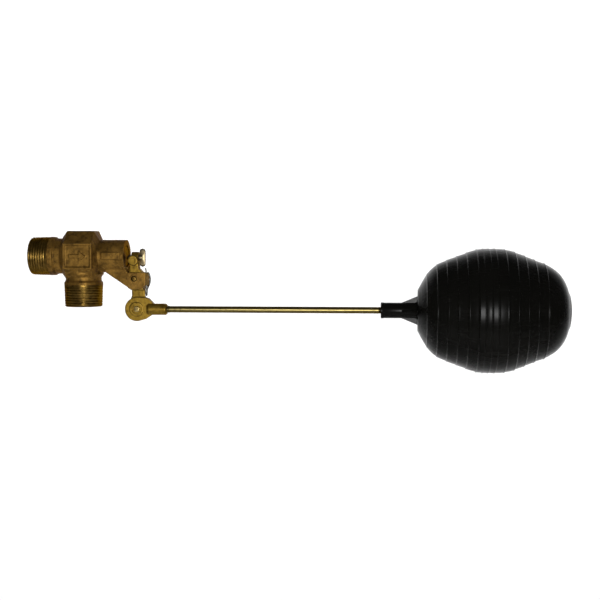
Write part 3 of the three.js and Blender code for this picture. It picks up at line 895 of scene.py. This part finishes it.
def rod_arm():
    """Clamping disc with a raised ring, and the socket for the rod."""
    outline = [
        *arc(BOLT_X, BOLT_Z, DISC_RADIUS, 90, 290, 28),
        (BOLT_X + 7.4, BOLT_Z - 8.6), (BOLT_X + 13, BOLT_Z - 4.9), (BOLT_X + 15, BOLT_Z - 4.4),
        (BOLT_X + 15, BOLT_Z + 4.4), (BOLT_X + 13.4, BOLT_Z + 5.8), (BOLT_X + 10.2, BOLT_Z + 9.1),
        (BOLT_X + 8.2, BOLT_Z + 9.9),
    ]
    socket = turned([
        (BOLT_X + 9, 0), (BOLT_X + 9, SOCKET_RADIUS - 1.2), (BOLT_X + 10.6, SOCKET_RADIUS),
        (SOCKET_END - 1.3, SOCKET_RADIUS), (SOCKET_END, SOCKET_RADIUS - 1), (SOCKET_END, 0),
    ], "X", (0, ROD_Y, BOLT_Z))
    raised = cylinder(PLATE_FRONT - 1, PLATE_FRONT + 1, 5.9, "Y", AT_BOLT)
    thing = cast("rod_arm_forging", [slab(outline, PLATE_FRONT, PLATE_BACK), socket, raised], 0.3, 4)
    roughen(thing, 0.05, 1.2, 15.0)
    cut(thing, [
        cylinder(PLATE_FRONT - 4, PLATE_FRONT + 1.1, 4.0, "Y", AT_BOLT, 56),
        cylinder(-20, 5, BOLT_HOLE, "Y", AT_BOLT, 40),
        cylinder(rod_low[0] - 1, SOCKET_END + 2, ROD_HOLE, "X", (0, ROD_Y, BOLT_Z), 48),
    ])
    finished(thing, "float_arm", ("rod_arm",), [LEVER])


def arm_nut():
    """Plain hexagon nut behind the lever."""
    front = WASHER_BACK + GAP
    back = front + 3.2
    corner = 4.6
    face_corner = corner * 0.93
    hexagon = raw_object("arm_nut_turned", turned([
        (front, 0), (front, face_corner), (front + 0.4, corner), (back - 0.4, corner),
        (back, face_corner), (back, 0),
    ], "Y", AT_BOLT, 6))
    cut(hexagon, [cylinder(front - 1, back + 1, BOLT_RADIUS + GAP, "Y", AT_BOLT, 40)])
    bevel = hexagon.modifiers.new("edges", "BEVEL")
    bevel.width = 0.15
    bevel.segments = 2
    bevel.limit_method = "ANGLE"
    apply_modifiers(hexagon)
    finished(hexagon, "lever_body", ("arm_nut",), [TURNED])


rod_arm()
arm_nut()
small_piece("arm_bolt", [
    (-7.1, 0), (-7.1, 2.3), (-6.7, 2.7), (-5.8, 2.7), (-5.8, BOLT_RADIUS),
    (10.6, BOLT_RADIUS), (11, BOLT_RADIUS - 0.4), (11, 0),
], "Y", AT_BOLT, "lever_body", TURNED, 48)
ring_piece("arm_lock_washer", rectangle(LEVER_HALF + GAP, WASHER_BACK, BOLT_RADIUS + GAP, 4.4),
           "Y", AT_BOLT, "lever_body", STEEL, 56)

# ---------- rod and float ----------

ROD_RADIUS = 2.75
ROD_THREAD_RADIUS = 3.05
ON_ROD = (0, ROD_Y, BOLT_Z)


def float_rod():
    """Drawn rod with a machine thread at both ends."""
    start, end = rod_low[0], rod_high[0]
    thread, lead_in, sections = 12.0, 0.7, 60
    tip_radius = 2.5
    depth, fade = 0.55, 1.5
    profile = [(start, 0), (start, tip_radius), (start + 0.6, ROD_THREAD_RADIUS)]
    for step in range(sections):
        profile.append((start + lead_in + (thread - lead_in) * step / sections, ROD_THREAD_RADIUS))
    profile += [(start + thread + 0.2, ROD_RADIUS), (end - thread - 0.2, ROD_RADIUS)]
    for step in range(sections):
        profile.append((end - thread + (thread - lead_in) * step / sections, ROD_THREAD_RADIUS))
    profile += [(end - 0.6, ROD_THREAD_RADIUS), (end, tip_radius), (end, 0)]
    near_cut = thread_cut(start + lead_in, start + thread, SMALL_THREAD_PITCH, depth, fade)
    far_cut = thread_cut(end - thread, end - lead_in, SMALL_THREAD_PITCH, depth, fade)

    def radius_at(along, radius, angle):
        return near_cut(along, radius, angle) if along < start + 20 else far_cut(along, radius, angle)

    thing = raw_object("float_rod_drawn", turned(profile, "X", ON_ROD, 40, 0.0, radius_at))
    finished(thing, "float_arm", ("float_rod",), [DRAWN], 40)


NECK_TIP = float_low[0]
FLOAT_END = float_high[0]
BODY_LEFT = 332.8
FLOAT_RADIUS = 52.2
FLOAT_NECK = 6.6
INSERT_RADIUS = 5.0
FLOAT_WALL = 2.5
FLOAT_CREST = 0.44
RING_WIDTH = 0.064
RIDGE_WIDTH = 0.0042
# Outline of the float's body: share of its length, and share of its greatest radius there.
FLOAT_SHAPE = [
    (0, 0.34), (0.03, 0.47), (0.05, 0.57), (0.09, 0.68), (0.12, 0.745), (0.2, 0.83), (0.28, 0.9),
    (0.36, 0.975), (0.41, 1), (0.53, 1), (0.6, 0.975), (0.68, 0.9), (0.76, 0.82), (0.84, 0.745),
    (0.9, 0.655), (0.94, 0.55), (0.97, 0.42), (0.99, 0.26), (1, 0.1),
]


def float_radius(share):
    """Radius of the plain outline at this share of the float's length."""
    for (s0, r0), (s1, r1) in zip(FLOAT_SHAPE, FLOAT_SHAPE[1:]):
        if share <= s1:
            return FLOAT_RADIUS * (r0 + (r1 - r0) * (share - s0) / (s1 - s0))
    return 0.0


def smooth_float_radius(share):
    """The outline with its corners eased over a short reach."""
    reach = 0.012
    if share < 0.02 or share > 0.985:
        return float_radius(share)
    return sum(float_radius(min(1.0, share + reach * k)) for k in (-2, -1, 0, 1, 2)) / 5


def ring_edges():
    """Edges of the moulded rings: narrow at the crest, wider towards both ends."""
    narrow = (0.02, 0.06)
    edges = []
    for side in (-1, 1):
        edges += [FLOAT_CREST + side * offset for offset in narrow]
        edges += [FLOAT_CREST + side * (narrow[1] + i * RING_WIDTH) for i in range(1, 6)]
    return sorted(edges)


def ridge_height(share, edges):
    """How far the ridge at the nearest ring edge stands up here."""
    nearest = min(edges, key=lambda edge: abs(edge - share))
    away = (share - nearest) / RIDGE_WIDTH
    if abs(away) < 4 / 3 + 1e-6:
        return 0.45 * math.exp(-(away * 1.3) ** 2)
    return 0.0


def ring_slope(share, edges):
    """Each ring stands a little higher at its edge nearer the end of the float."""
    nearest = min(edges, key=lambda edge: abs(edge - share))
    lean = 1 if nearest < FLOAT_CREST else -1
    before = [edge for edge in edges if edge <= share]
    lower = before[-1] if before else edges[0] - RING_WIDTH
    higher = next((edge for edge in edges if edge > share), edges[-1] + RING_WIDTH)
    if lower <= share <= higher and edges[0] <= share <= edges[-1]:
        across = (share - lower) / (higher - lower)
        return lean * 0.35 * (0.5 - across)
    return 0.0


def float_outside():
    """Profile of the neck and of the ringed body, from the neck's tip to the far end."""
    length = FLOAT_END - BODY_LEFT
    edges = ring_edges()
    shares = {step / 150 for step in range(151)}
    for edge in edges:
        shares.update(edge + RIDGE_WIDTH * k / 3 for k in range(-4, 5))
    lip = FLOAT_NECK + 0.2
    profile = [
        (NECK_TIP, INSERT_RADIUS + GAP), (NECK_TIP, FLOAT_NECK - 0.1), (NECK_TIP + 0.3, lip),
        (NECK_TIP + 2.2, lip), (NECK_TIP + 2.6, FLOAT_NECK),
        (BODY_LEFT - 2.5, FLOAT_NECK), (BODY_LEFT - 0.8, FLOAT_NECK + 0.6), (BODY_LEFT - 0.1, FLOAT_NECK + 2),
    ]
    for share in sorted(s for s in shares if 0 <= s < 0.998):
        radius = smooth_float_radius(share) - 0.3
        radius += ridge_height(share, edges)
        radius += ring_slope(share, edges)
        profile.append((BODY_LEFT + share * length, min(radius, FLOAT_RADIUS)))
    profile.append((FLOAT_END, 0))
    return profile


def float_inside():
    """Profile of the hollow, from the far end back to the neck."""
    length = FLOAT_END - BODY_LEFT
    sections = 28
    profile = [(FLOAT_END - FLOAT_WALL, 0)]
    for step in range(sections, 0, -1):
        share = 0.975 * step / sections
        profile.append((BODY_LEFT + share * length, float_radius(share) - FLOAT_WALL))
    profile.append((BODY_LEFT + FLOAT_WALL, INSERT_RADIUS + GAP))
    return profile


def add_gussets(thing):
    """Four thin webs between the neck and the body of the float."""
    left, root = 319.5, FLOAT_NECK - 0.6
    right = BODY_LEFT + 0.8
    vertices, faces = slab([(left, root), (left, FLOAT_NECK), (right, 12.4), (right, root)], -1, 1)
    for quarter in range(4):
        turn = Matrix.Rotation(math.pi / 2 * quarter, 3, "X")
        placed = [tuple(turn @ Vector(point) + Vector(ON_ROD)) for point in vertices]
        add_shape(thing, (placed, faces))


def float_shell():
    """Hollow moulded float with a gusseted neck."""
    profile = float_outside() + float_inside()
    thing = raw_object("float_shell_moulded", turned(profile, "X", ON_ROD, 120, closed=True))
    add_gussets(thing)
    finished(thing, "float_arm", ("float_shell",), [PLASTIC], 40)


float_rod()
float_shell()
small_piece("float_insert", [
    (rod_high[0] + 1, 0), (rod_high[0] + 1, 3.35), (NECK_TIP + 0.4, 3.35), (NECK_TIP + 0.4, INSERT_RADIUS),
    (rod_high[0] + 4, INSERT_RADIUS), (rod_high[0] + 4, 0),
], "X", ON_ROD, "float_arm", TURNED, 48)

# ---------- studio ----------


def studio_material(name, shade):
    """Matt paper with a barely uneven tone."""
    material, nodes, links, shader = new_material(name)
    paper = noise_node(nodes, links, 6, 3)
    low = tuple(value * 0.985 for value in shade)
    links.new(ramp_node(nodes, links, paper, [(0.3, low), (0.7, shade)]), shader.inputs["Base Color"])
    shader.inputs["Roughness"].default_value = 0.9
    shader.inputs["Specular IOR Level"].default_value = 0.1
    return material


def backdrop(centre):
    """Pale floor that curves up behind the object."""
    reach, front, depth, drop, bend, wall = 3.0, -2.5, 0.9, 0.5, 0.5, 3.0
    steps = 12
    floor_z = cad_low[2] - drop
    line = [(front, floor_z), (depth, floor_z)]
    for step in range(1, steps + 1):
        angle = math.pi / 2 * step / steps
        line.append((depth + bend * math.sin(angle), floor_z + bend * (1 - math.cos(angle))))
    line.append((depth + bend, floor_z + wall))
    vertices = [(centre.x + side * reach, y, z) for y, z in line for side in (-1, 1)]
    faces = [(2 * i, 2 * i + 1, 2 * i + 3, 2 * i + 2) for i in range(len(line) - 1)]
    mesh = bpy.data.meshes.new("backdrop")
    mesh.from_pydata(vertices, [], faces)
    for polygon in mesh.polygons:
        polygon.use_smooth = True
    mesh.materials.append(studio_material("paper_white", (0.93, 0.93, 0.93)))
    thing = bpy.data.objects.new("backdrop", mesh)
    bpy.context.scene.collection.objects.link(thing)


def area_light(name, place_at, aim, size, power):
    """A white rectangular light at place_at that shines towards aim."""
    light = bpy.data.lights.new(name, "AREA")
    light.shape = "RECTANGLE"
    light.size, light.size_y = size
    light.energy = power
    thing = bpy.data.objects.new(name, light)
    thing.location = place_at
    thing.rotation_euler = (Vector(aim) - Vector(place_at)).to_track_quat("-Z", "Y").to_euler()
    bpy.context.scene.collection.objects.link(thing)


def camera(centre):
    """The photograph's view: slightly from the float's side and slightly above."""
    azimuth, elevation = math.radians(5.0), math.radians(2.85)
    distance = 0.94
    aim = centre + Vector((0.0033, 0, 0.00065))
    toward = Vector((
        -math.sin(azimuth) * math.cos(elevation),
        math.cos(azimuth) * math.cos(elevation),
        -math.sin(elevation),
    ))
    lens = bpy.data.cameras.new("camera")
    lens.lens = 66.13
    lens.sensor_width = 36
    lens.clip_start = 0.01
    thing = bpy.data.objects.new("camera", lens)
    thing.location = aim - toward * distance
    thing.rotation_euler = toward.to_track_quat("-Z", "Y").to_euler()
    bpy.context.scene.collection.objects.link(thing)
    bpy.context.scene.camera = thing


def studio():
    """Backdrop, key light near the camera, two lights on the wall, and the camera. In metres."""
    low, high = Vector(cad_low), Vector(cad_high)
    centre = (low + high) / 2
    centre.y = 0
    backdrop(centre)
    area_light("key", centre + Vector((0.08, -1.0, -0.03)), centre, (0.24, 0.24), 7)
    for name, side in (("wall_wash_left", -0.8), ("wall_wash_right", 0.8)):
        behind = centre + Vector((side, 0.3, 0.5))
        area_light(name, behind, behind + Vector((0, 1.0, -0.25)), (1.0, 0.6), 14)
    world = bpy.data.worlds.new("studio")
    bpy.context.scene.world = world
    world.use_nodes = True
    background = world.node_tree.nodes["Background"]
    background.inputs["Color"].default_value = (1, 1, 1, 1)
    background.inputs["Strength"].default_value = 0.1
    bpy.context.scene.view_settings.view_transform = "Standard"
    camera(centre)


studio()
